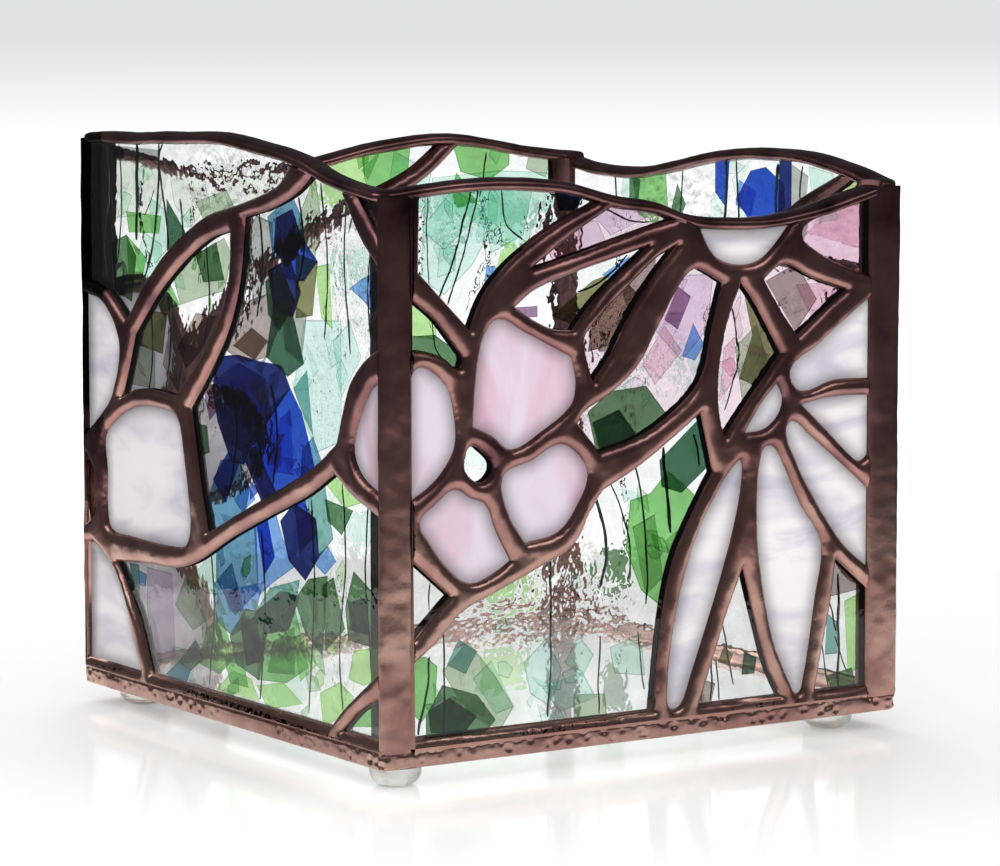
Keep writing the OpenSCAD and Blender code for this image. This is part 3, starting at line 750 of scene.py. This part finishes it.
FLAKES["left"] = [
    ("moss", 11, 88, 17, 90, 21, 86, 19, 77, 12, 79), ("leaf", 17, 90, 25, 86, 22, 79, 18, 80),
    ("mint", 21, 85, 24, 91, 31, 89, 31, 82, 25, 79), ("leaf", 17, 94.5, 31, 94.5, 30, 91, 18, 90.5),
    ("mint", 26, 98, 32, 96, 33, 88, 28, 85), ("pine", 33, 98, 41, 91.5, 33, 88),
    ("pale", 34, 103, 47, 103.5, 50, 98, 42, 93, 36, 97),
    ("pale", 10, 103, 24, 106, 34, 103, 30, 95, 14, 93), ("grey", 11, 107, 30, 107, 30, 105, 12, 104),
    ("sage", 44, 98, 56, 101, 60, 97, 48, 94), ("leaf", 28, 79.5, 34, 82, 38, 78, 31, 76),
    ("sage", 35, 84, 44, 88, 55, 92, 58, 89, 55, 82, 46, 80, 38, 78),
    ("olive", 21, 69, 24, 76, 33, 76, 31, 68), ("grey", 31, 66, 35, 76.5, 40, 70, 37, 61),
    ("moss", 44, 88, 52, 91, 55, 84, 47, 83), ("sage", 18, 61, 21, 70, 28, 68, 28, 61),
    ("taupe", 37, 70, 44, 77, 52, 77, 46, 70, 40, 66),
    ("steel", 71, 97, 80, 101.5, 84, 97, 83, 92, 73, 89), ("navy", 74, 97, 80, 99, 84, 93, 78, 88, 73, 91),
    ("royal", 76, 92, 82, 95, 89, 90, 84, 86, 77, 86), ("navy", 71, 87, 79, 90, 83, 84, 80, 79, 73, 80),
    ("pine", 70, 85, 76, 88, 81, 82, 75, 76, 71, 79), ("sage", 81, 93, 83, 99, 88, 105.5, 90, 99, 88, 90),
    ("olive", 81, 91, 89, 90, 87, 80, 81, 79), ("lime", 88, 89, 93, 90, 94, 78, 90, 80),
    ("grey", 62, 92, 67, 97, 73, 96, 73, 84, 66, 80),
    ("taupe", 55, 71, 64, 81, 72, 83, 75, 77, 71, 71, 62, 69), ("brown", 58, 72, 65, 76, 71, 74, 66, 70),
    ("grey", 76, 83, 85, 80, 83, 71, 77, 73), ("pine", 70, 71, 73, 81, 79, 82, 84, 71, 78, 68),
    ("navy", 52, 69.5, 60, 70.5, 68, 70, 76, 70, 79, 66, 72, 60, 64, 54, 62, 50, 57, 50, 52, 57, 50, 63),
    ("royal", 51, 65, 60, 69, 70, 67, 72, 60, 63, 52, 54, 54),
    ("royal", 63, 54, 70, 61, 79, 66, 83, 62, 86, 56, 88, 51, 80, 46, 70, 43, 65, 49),
    ("sky", 66, 56, 74, 62, 76, 52, 70, 47), ("sky", 73, 50, 80, 50, 79, 62, 75, 60),
    ("navy", 61, 52, 66, 54, 74, 46, 68, 44), ("steel", 82, 47, 92, 51, 87, 58, 83, 55),
    ("steel", 48, 42, 53, 50, 60, 51, 64, 46, 62, 40, 54, 37, 48, 36),
    ("sky", 58, 43, 63, 47, 66, 44, 61, 41), ("royal", 50, 46, 56, 52, 60, 50, 55, 42),
    ("aqua", 84, 79, 97, 80, 97, 58, 88, 55, 80, 66, 82, 72), ("teal", 80, 66, 85, 70, 87, 58, 84, 61),
    ("sky", 100, 86, 104, 88, 110, 90, 110, 85, 108, 82, 105, 84), ("sage", 106, 79, 111, 83, 111, 76),
    ("aqua", 94, 76, 100, 80, 104, 74, 97, 66), ("plum", 47, 62, 51, 64, 53, 60, 49, 57),
    ("moss", 45, 56, 48, 56, 49, 51, 46, 50), ("steel", 51, 36, 58, 40, 66, 42, 67, 27, 58, 21, 51, 27),
    ("steel", 50, 26, 57, 31, 63, 20, 57, 17, 51, 19),
    ("sky", 65, 41, 73, 43, 76, 38, 80, 33, 72, 29, 67, 26), ("royal", 66, 40, 70, 42, 73, 34, 69, 30),
    ("navy", 75, 41, 80, 45, 88, 43, 89, 36, 84, 31, 78, 34), ("royal", 80, 45, 84, 46, 88, 40, 82, 36),
    ("sky", 86, 35, 92, 38.5, 95, 36, 91, 33), ("teal", 84, 46, 91, 50, 94, 40, 89, 36, 87, 42),
    ("sky", 54, 25, 69, 29, 66, 23, 56, 21.5), ("teal", 64, 21, 71, 28, 82, 31, 80, 24, 73, 20),
    ("pine", 66, 23, 75, 28, 82, 28, 78, 21, 69, 19),
    ("moss", 56, 17, 62, 23, 69, 23, 70, 19, 67, 10, 58, 12), ("pine", 60, 20, 66, 22, 69, 14, 62, 12),
    ("leaf", 68, 19, 80, 26, 85, 15, 77, 11, 66, 10), ("lime", 79, 20, 84, 21, 88, 16, 82, 12),
    ("leaf", 72, 18, 80, 22, 80, 13, 70, 12), ("moss", 80, 27, 85, 31.5, 92, 33, 90, 18, 84, 21),
    ("moss", 90, 31, 94, 33, 98, 24, 91, 19), ("sage", 84, 30, 89, 29, 88, 22),
    ("moss", 98, 28, 101, 35, 112, 30, 112, 22, 99, 22), ("pine", 99, 29, 106, 31, 106, 24, 100, 24),
    ("lime", 99, 15, 101, 20.5, 112, 23, 112, 17, 104, 14.5),
    ("leaf", 44, 10, 47, 17, 53, 20.5, 58, 13, 52, 9), ("moss", 36, 9, 43, 14.5, 46, 11, 41, 8),
    ("lime", 51, 6, 57, 10.5, 64, 10, 67, 6), ("leaf", 54, 12, 61, 14, 63, 8, 56, 8),
    ("steel", 31, 6, 37, 9.5, 41, 8, 39, 5), ("mint", 34, 12, 38, 12, 43, 6, 33, 6),
    ("sage", 35, 20, 42, 30, 50, 20, 42, 16), ("teal", 17, 26, 21, 26, 21, 18, 19, 18),
    ("sky", 20.5, 25, 24, 24.5, 23.5, 22, 21, 22), ("lilac", 24, 26, 34, 26, 35, 10, 28, 8, 24, 17),
    ("mint", 44, 28, 52, 34, 52, 24, 46, 24), ("lime", 89, 11, 96, 14, 101, 12, 98, 8, 90, 5),
    ("lime", 91, 50, 97, 53, 105, 48, 98, 46), ("moss", 91, 47, 101, 46, 97, 41, 92, 43),
    ("leaf", 98, 6, 104, 10, 112, 13, 112, 8, 104, 7), ("lime", 66, 9, 76, 11, 83, 8, 70, 5)]
FLAKES["back"] = [
    ("lime", 52, 104, 62, 103, 61, 93, 52, 92), ("leaf", 41, 104.5, 53, 104, 51, 91, 44, 88, 42, 95),
    ("mint", 36, 98, 45, 103, 47, 92, 38, 90),
    ("leaf", 17, 103.5, 25, 104.5, 31, 104, 29, 98, 22, 96, 17, 99),
    ("mint", 6, 97, 20, 98, 36, 97, 34, 88, 20, 86, 8, 88), ("sage", 6.5, 101, 12, 102, 13, 98, 8, 96),
    ("leaf", 25, 92, 30, 98, 32, 91), ("aqua", 12, 92, 24, 96, 26, 84, 14, 82),
    ("lime", 12, 82, 20, 84, 22, 76, 12, 75), ("mint", 44, 84, 58, 82, 56, 74, 46, 74),
    ("pale", 70, 98, 84, 98, 84, 88, 74, 87), ("lime", 14, 16, 26, 17, 24, 8, 14, 8),
    ("aqua", 40, 28, 54, 30, 52, 22, 42, 22), ("mint", 62, 14, 74, 16, 72, 8, 64, 7),
    ("mint", 20, 52, 32, 54, 30, 46, 20, 46)]
FLAKES["right"] = [
    ("royal", 34, 99, 40, 102, 45, 101, 50, 95, 44, 90, 38, 86, 33, 90),
    ("royal", 52, 103.5, 57, 103.5, 57, 96, 53, 93), ("sky", 43, 97, 49, 99, 50, 94, 45, 92),
    ("navy", 31.5, 103.5, 35.5, 103.5, 36, 90, 33, 86, 31.5, 90),
    ("grey", 26, 101, 31.5, 103, 32, 91, 28, 88), ("leaf", 74, 99, 86, 97.5, 84, 90, 79, 88, 73, 90),
    ("moss", 83, 97, 87, 97.5, 87, 91, 84, 90), ("moss", 67, 93, 70, 97, 72, 92, 70, 88),
    ("mint", 18, 102, 26, 103, 24, 92, 18, 93), ("lime", 8, 101, 15, 102, 14, 96, 9, 97),
    ("aqua", 56, 66, 70, 64, 68, 54, 56, 54), ("mint", 84, 62, 96, 60, 94, 52, 86, 52),
    ("lime", 60, 24, 72, 24, 70, 14, 62, 14), ("moss", 88, 20, 98, 20, 96, 10, 89, 12),
    ("rose", 3, 98, 14, 99, 28, 90, 10, 88)]

# Scattered small flakes of each wall: colour, u and v of the middle, reach, count and size
SCATTER = {
    "front": [
        ("mint", 20, 96, 11, 8, 6), ("leaf", 15, 11, 7, 6, 4), ("aqua", 38, 13, 11, 9, 5),
        ("leaf", 60, 40, 7, 5, 5), ("lilac", 60, 78, 16, 12, 4), ("rose", 80, 72, 9, 5, 4),
        ("aqua", 32, 26, 14, 4, 5), ("brown", 50, 78, 6, 4, 3)],
    "left": [
        ("leaf", 72, 15, 20, 14, 6), ("lime", 90, 22, 18, 10, 6), ("leaf", 58, 14, 14, 6, 5),
        ("mint", 28, 92, 14, 10, 6), ("royal", 70, 54, 14, 12, 5), ("navy", 66, 62, 12, 8, 5),
        ("aqua", 90, 68, 12, 8, 5), ("steel", 60, 32, 10, 8, 4), ("pine", 17, 84, 6, 7, 4),
        ("sky", 72, 46, 12, 8, 4), ("sage", 30, 68, 10, 8, 4), ("leaf", 50, 86, 8, 8, 4)],
    "back": [
        ("mint", 24, 90, 18, 9, 7), ("leaf", 48, 96, 10, 4, 6), ("mint", 40, 40, 30, 5, 8)],
    "right": [
        ("mint", 70, 92, 26, 7, 7), ("aqua", 60, 44, 40, 6, 8)],
}

# Spots where the rolled texture shows strongly, in deeper ripples and painted dark lines of bent light: u,
# v, width, height
GRAIN = {
    "front": [
        (36, 27, 50, 22), (35, 99, 8, 9), (52, 76, 20, 20), (60, 72, 20, 24), (82, 70, 12, 26),
        (96, 80, 18, 10), (16, 96, 10, 10)],
    "left": [
        (58, 102, 44, 16), (62, 84, 14, 30), (92, 66, 18, 30), (50, 60, 16, 14), (104, 84, 14, 20),
        (70, 20, 10, 8)],
    "back": [
        (50, 84, 60, 24), (40, 46, 60, 24)],
    "right": [
        (70, 90, 50, 24), (60, 56, 70, 30)],
}

# Black threads fused to the inside of each wall: thickness, then u and v of each point they pass through
STREAMERS = {}
STREAMERS["front"] = [
    (0.5, 14, 84, 17.5, 92, 20, 100, 21, 104), (0.45, 16, 83, 18.5, 90, 21, 97, 22.5, 104),
    (0.4, 27.5, 103, 28.6, 97, 32, 94), (0.3, 11.8, 103, 11.6, 95, 11.9, 87),
    (0.35, 12.5, 81, 13.2, 76, 14.5, 73.5), (0.4, 8, 36, 8.3, 30, 8, 24), (0.35, 12, 33, 11.8, 28),
    (0.6, 12, 19.5, 11.5, 14, 10, 8, 9.5, 5.4), (0.5, 14.8, 25, 15.2, 15, 15, 5.4),
    (0.5, 38, 37, 38.3, 25, 38, 12, 37.5, 6), (0.45, 49.2, 20, 48.8, 12, 49, 5.4),
    (0.8, 47, 48, 49.5, 42, 50.5, 35, 49, 29), (0.45, 51.5, 48, 55, 40, 55.8, 33, 55.3, 30),
    (0.5, 56.5, 52, 58, 47, 59.5, 35, 59.5, 25), (0.4, 57.5, 20, 58.4, 14, 59, 9),
    (0.9, 63, 54, 64, 45, 65, 38), (0.5, 70, 56, 71, 53, 71.5, 50), (0.5, 74.5, 15, 74.4, 10, 74, 5.4),
    (0.4, 75.5, 13, 75.9, 9, 76, 5.4), (0.4, 76.5, 22, 78, 14, 79.5, 8), (0.4, 72.5, 11, 72.2, 8, 72, 5.4),
    (0.45, 101, 23, 102.6, 19, 103.5, 16), (0.7, 103.8, 27, 104, 15, 104, 5.4),
    (0.4, 103, 15, 104.6, 11, 106, 8), (0.4, 99.8, 15, 100.9, 9, 101.5, 5.4),
    (0.4, 50, 99, 55, 96.5, 60, 96), (0.5, 44, 84, 50, 86, 55, 90), (0.4, 78, 82, 80, 70, 77, 60)]
STREAMERS["left"] = [
    (0.9, 19.2, 108, 19, 98, 18.7, 89), (0.6, 28, 108, 27.5, 98, 25, 88, 21, 80),
    (0.5, 29.5, 108, 28, 104, 31, 92, 31, 87), (0.3, 26, 99, 24, 96, 22, 94),
    (0.5, 7, 107, 8, 98, 6, 88, 7, 81), (0.4, 12, 107, 13, 96, 11, 84), (0.45, 36, 98, 37, 92, 36, 89),
    (0.4, 24, 76, 25, 68, 23, 60), (0.5, 31, 79, 32, 70, 30, 61), (0.4, 46, 90, 47, 80, 45, 70),
    (0.5, 66, 97, 67, 88, 65, 78), (0.5, 80, 101, 82, 92, 79, 84), (0.4, 88, 104, 90, 90, 89, 76),
    (0.4, 97, 103, 96, 90, 98, 74), (0.35, 105, 94, 104, 84, 106, 74), (0.4, 55, 66, 57, 55, 54, 44),
    (0.5, 70, 66, 72, 56, 70, 47), (0.45, 47, 31, 48, 20, 46, 6), (0.5, 66, 38, 67, 24, 65, 6),
    (0.4, 84, 46, 85, 30, 83, 6), (0.4, 95, 50, 96, 36, 94, 20, 95, 8), (0.4, 104, 47, 103, 34, 105, 16)]
STREAMERS["back"] = [
    (0.6, 29, 69, 26, 78, 21, 88), (0.5, 16, 88, 13.5, 83, 11, 78), (0.5, 40, 96, 41, 84, 38, 66),
    (0.5, 58, 88, 57, 76, 59, 60), (0.4, 70, 100, 72, 92, 71, 86), (0.5, 90, 99, 91, 90, 89, 78),
    (0.6, 102, 102, 103, 92, 101, 82), (0.4, 20, 60, 22, 45, 20, 26), (0.5, 46, 54, 44, 40, 47, 22),
    (0.5, 66, 46, 67, 38, 65, 28), (0.4, 30, 17, 31, 12, 30, 6), (0.5, 58, 18, 57, 12, 59, 6),
    (0.5, 24, 102, 25, 90, 23, 70), (0.4, 48, 94, 50, 80, 49, 60)]
STREAMERS["right"] = [
    (0.8, 51.5, 103, 51, 96, 52.5, 86), (0.9, 34, 103, 34.5, 95, 33.5, 86), (0.5, 26, 103, 27, 97, 25, 93),
    (0.5, 48, 103, 47, 92, 49, 82), (0.4, 66, 100, 67, 88, 65, 78), (0.5, 90, 98, 89, 84, 92, 72),
    (0.5, 34, 78, 36, 60, 33, 36), (0.5, 58, 74, 57, 58, 60, 44), (0.5, 84, 68, 86, 54, 84, 44),
    (0.4, 100, 64, 101, 50, 99, 38), (0.5, 24, 24, 25, 14, 24, 6), (0.5, 60, 37, 61, 20, 59, 6),
    (0.4, 88, 36, 87, 20, 89, 6)]


def flat_points(values):
    """Flat points from their u and v, one after the other."""
    return [Vector(p) for p in zip(values[::2], values[1::2])]


def shard(rng, u, v, wide, high):
    """A small flake's outline: three to five corners, longer one way than the other."""
    count, turn = rng.randint(3, 5), rng.uniform(0, math.pi)
    outline = []
    for k in range(count):
        angle = 2 * math.pi * (k + rng.uniform(-0.3, 0.3)) / count
        x, y = wide / 2 * math.cos(angle), high / 2 * math.sin(angle)
        outline.append(Vector((u + x * math.cos(turn) - y * math.sin(turn),
                               v + x * math.sin(turn) + y * math.cos(turn))))
    return outline


EDGE_W = 0.3
EDGE_TINT = 0.74


def with_edge(colour, outline):
    """A flake as two shapes whose tints multiply: the whole, darker, and all but its edge, lighter again."""
    area = sum(p.x * q.y - q.x * p.y for p, q in zip(outline, outline[1:] + outline[:1]))
    if area < 0:
        outline = outline[::-1]
    heart = sum(outline, Vector((0, 0))) / len(outline)
    inner = [p.lerp(heart, EDGE_W / max((p - heart).length, 2 * EDGE_W)) for p in outline]
    return [(tuple(c * EDGE_TINT for c in colour), outline), ((1 / EDGE_TINT,) * 3, inner)]


def flakes_of(wall):
    """All the flakes of a wall, large and small, as (colour, outline)."""
    rng = random.Random(wall.name)
    made = []
    for name, *corners in FLAKES[wall.name]:
        made += with_edge(PALETTE[name], flat_points(corners))
    for name, u, v, reach, count, size in SCATTER[wall.name]:
        for _ in range(count):
            angle, far = rng.uniform(0, 2 * math.pi), reach * math.sqrt(rng.random())
            wide, high = size * rng.uniform(0.8, 1.6), size * rng.uniform(0.3, 0.9)
            shade = rng.uniform(0.1, 0.6)
            colour = tuple(c + (1 - c) * shade for c in PALETTE[name])
            at_u, at_v = u + far * math.cos(angle), v + far * math.sin(angle)
            made += with_edge(colour, shard(rng, at_u, at_v, wide, high))
    return made


def grain_at(wall, p):
    """How strongly the rolled texture shows at a flat point, in its ripples and in its painted dark lines.
    """
    best = 0.12
    for u, v, wide, high in GRAIN[wall.name]:
        away = math.hypot((p.x - u) / wide * 2, (p.y - v) / high * 2)
        best = max(best, min(1, 2.2 * (1 - away)))
    return best


# Painted shade of the opal panes: how far in from the outline it reaches in millimetres, and how bright each
# wall's opal is, the left wall in shade
EDGE_SHADE_REACH = 4.4
OPAL_PAINTED_SHADE = {"front": 1.0, "left": 0.90, "back": 1.0, "right": 1.0}


def opal_edge_shade(points):
    """Painted shade near a pane's outline, given as pairs of ends: 1 on the outline, 0 well inside."""
    marks = []
    for a, b in zip(points[::2], points[1::2]):
        steps = max(1, int((b - a).length / 0.5))
        marks += [a.lerp(b, k / steps) for k in range(steps)]
    tree = point_tree(marks)
    return lambda p: max(0.0, 1 - tree.find(p.to_3d())[2] / EDGE_SHADE_REACH)


def add_pane(node, wall, flakes, material, opal=False):
    """A pane with its flakes fused into its outer face. Where flakes overlap, their colours multiply."""
    mesh = welded(node)
    outer = faces_at(mesh, wall, 0)
    own = flat_tree([mesh], wall, 0)
    points, edges = [], []
    for a, b in edges_round(outer, wall):
        edges.append((len(points), len(points) + 1))
        points += [a, b]
    edge = opal_edge_shade(points) if opal else None
    low, high = corners_of(points)
    shapes, tints = [], []
    for tint, outline in flakes:
        start, end = corners_of(outline)
        if end.x > low.x and start.x < high.x and end.y > low.y and start.y < high.y:
            shapes.append(list(range(len(points), len(points) + len(outline))))
            points += outline
            tints.append(tint)
    points += [p for p in lattice(low, high, 1.1 if opal else 2.5) if near(own, p, ON_FACE)]
    made, _, triangles, _, _, within = delaunay_2d_cdt(points, edges, shapes, 0, 1e-4, True)
    verts = [wall.point(p.x, p.y, 0) for p in made]
    # On opal panes this attribute holds the painted shade near the outline; on clear ones, how strongly the
    # rolled texture shows
    grains = [edge(p) if opal else grain_at(wall, p) for p in made]
    faces, colours = [], []
    for t, covers in zip(triangles, within):
        if near(own, centre_of(made, t), IN_PANE):
            # An opal pane starts from its wall's painted shade, a clear one from white
            colour = [OPAL_PAINTED_SHADE[wall.name] if opal else 1.0] * 3
            for k in covers:
                colour = [c * w for c, w in zip(colour, tints[k])]
            faces.append(t)
            colours.append([max(c, 0.004) ** 2 for c in colour])
    chosen = set(outer)
    carry_over([f for f in mesh.faces if f not in chosen], verts, faces)
    grains += [0.0] * (len(verts) - len(grains))
    colours += [[1.0, 1.0, 1.0]] * (len(faces) - len(colours))
    piece = add_piece(node + "_glass", verts, faces, material, 20)
    tint = piece.data.color_attributes.new("tint", "FLOAT_COLOR", "CORNER")
    for polygon, colour in zip(piece.data.polygons, colours):
        for k in polygon.loop_indices:
            tint.data[k].color = colour + [1.0]
    grain = piece.data.attributes.new("grain", "FLOAT", "POINT")
    for k, value in enumerate(grains):
        grain.data[k].value = value
    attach(piece, "root")
    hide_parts(node)


def smooth_path(points, steps=6):
    """A curve through flat points."""
    path = []
    for i in range(len(points) - 1):
        a, b = points[max(i - 1, 0)], points[i]
        c, d = points[i + 1], points[min(i + 2, len(points) - 1)]
        for k in range(steps):
            t = k / steps
            bend, twist = 2 * a - 5 * b + 4 * c - d, 3 * b - a - 3 * c + d
            path.append(0.5 * (2 * b + (c - a) * t + bend * t * t + twist * t ** 3))
    return path + [points[-1]]


def add_streamers(wall, material):
    """The black threads of a wall, half sunk in the inner face of its glass."""
    verts, faces = [], []
    sides = 6
    for thick, *points in STREAMERS[wall.name]:
        path = smooth_path(flat_points(points))
        for k, p in enumerate(path):
            ahead = (path[min(k + 1, len(path) - 1)] - path[max(k - 1, 0)]).normalized()
            across = Vector((ahead.y, -ahead.x))
            end = min(k, len(path) - 1 - k)
            radius = thick / 2 * (0.45 if end == 0 else 0.8 + 0.3 * wobble((p.x, p.y, 0), 3))
            p = p + across * 0.35 * wobble((p.x, p.y, 5), 4)
            if k:
                first = len(verts) - sides
                for s in range(sides):
                    t = (s + 1) % sides
                    faces.append((first + s, first + t, first + sides + t, first + sides + s))
            for s in range(sides):
                angle = 2 * math.pi * s / sides
                q = p + across * radius * math.cos(angle)
                verts.append(wall.point(q.x, q.y, -GLASS - 0.05 + radius * math.sin(angle)))
            if end == 0:
                loop = tuple(range(len(verts) - sides, len(verts)))
                faces.append(loop if k else loop[::-1])
    piece = add_piece(wall.name + "_streamers", verts, faces, material, 80)
    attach(piece, "root")


def streamer_material():
    """Nearly black green glass."""
    material, tree, shader = new_material("black_streamer")
    cloud = tree.noise(tree.place(), 300)
    tree.set(shader, {"Base Color": tree.ramp(cloud, (0, (0.002, 0.004, 0.003)), (1, (0.02, 0.05, 0.035))),
                      "Roughness": 0.15})
    return material


def floor_material():
    """The clear base: plain glass with a faint unevenness."""
    material, tree, shader = new_material("clear_base_glass")
    colour = tree.ramp(tree.noise(tree.place(), 60), (0, (0.94, 0.97, 0.95)), (1, (0.99, 1, 0.995)))
    tree.set(shader, {"Base Color": colour, "Transmission Weight": 1, "Roughness": 0.02})
    let_light_through(tree, shader, colour)
    return material


def add_glass():
    """Every pane, and the threads in the clear ones."""
    clear_tint = (0.98, 0.99, 0.985)
    bluish, mauve = (0.98, 0.985, 0.99), (0.90, 0.76, 0.84)
    clear = {
        "clear_glass": see_through("clear_rolled_glass", clear_tint, 260, 0.6, 0.01, 0.6),
        "confetti_glass": see_through("confetti_rolled_glass", clear_tint, 300, 0.7, 0.01, 0.62),
        "blue_confetti_glass": see_through("blue_confetti_rolled_glass", bluish, 300, 0.75, 0.01, 0.66),
        "mauve_textured_glass": see_through("mauve_rolled_glass", mauve, 420, 0.9, 0.03, 0.6)}
    white, pink = ((0.98, 0.94, 0.95), (0.66, 0.62, 0.72)), ((0.84, 0.76, 0.84), (0.80, 0.50, 0.62))
    opal = {
        "white_opal_glass": opal_material("white_opal", *white, 3.0, (40, 40, 130)),
        "pink_opal_glass": opal_material("pink_opal", *pink, 8.0, (90, 90, 30))}
    flakes = {wall.name: flakes_of(wall) for wall in WALLS.values()}
    for node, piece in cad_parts.items():
        slot = piece.data.materials[0].name
        if slot in opal:
            wall = wall_of(node)
            add_pane(node, wall, [], opal[slot], True)
        elif slot in clear and node != "base_glass":
            wall = wall_of(node)
            add_pane(node, wall, flakes[wall.name], clear[slot])
    threads = streamer_material()
    for wall in WALLS.values():
        add_streamers(wall, threads)
    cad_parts["base_glass"].material_slots[0].material = floor_material()


def add_feet():
    """Clear soft bumpers."""
    material, tree, shader = new_material("clear_bumper_rubber")
    tree.set(shader, {
        "Roughness": tree.remap(tree.noise(tree.place(), 120), (0, 1), (0.12, 0.3)),
        "Base Color": (0.95, 0.94, 0.89, 1), "Transmission Weight": 0.72, "IOR": 1.48})
    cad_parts["bumper_feet"].material_slots[0].material = material


add_camera()
add_world()
add_stage()
add_light("back_light", (0.3, 1.1, 1.3), (0, 0.1, 0), (1.4, 0.8), 14)
add_light("left_panel", (-1.1, 0.4, 1.0), (0, 0, 0.06), (0.9, 0.7), 4.5, gloss=True)
add_light("front_panel", (0.5, -1.2, 1.2), (0, 0, 0.06), (0.9, 0.5), 3.5, gloss=True)
bpy.context.scene.view_settings.view_transform = "Standard"
add_solder()
add_glass()
add_feet()
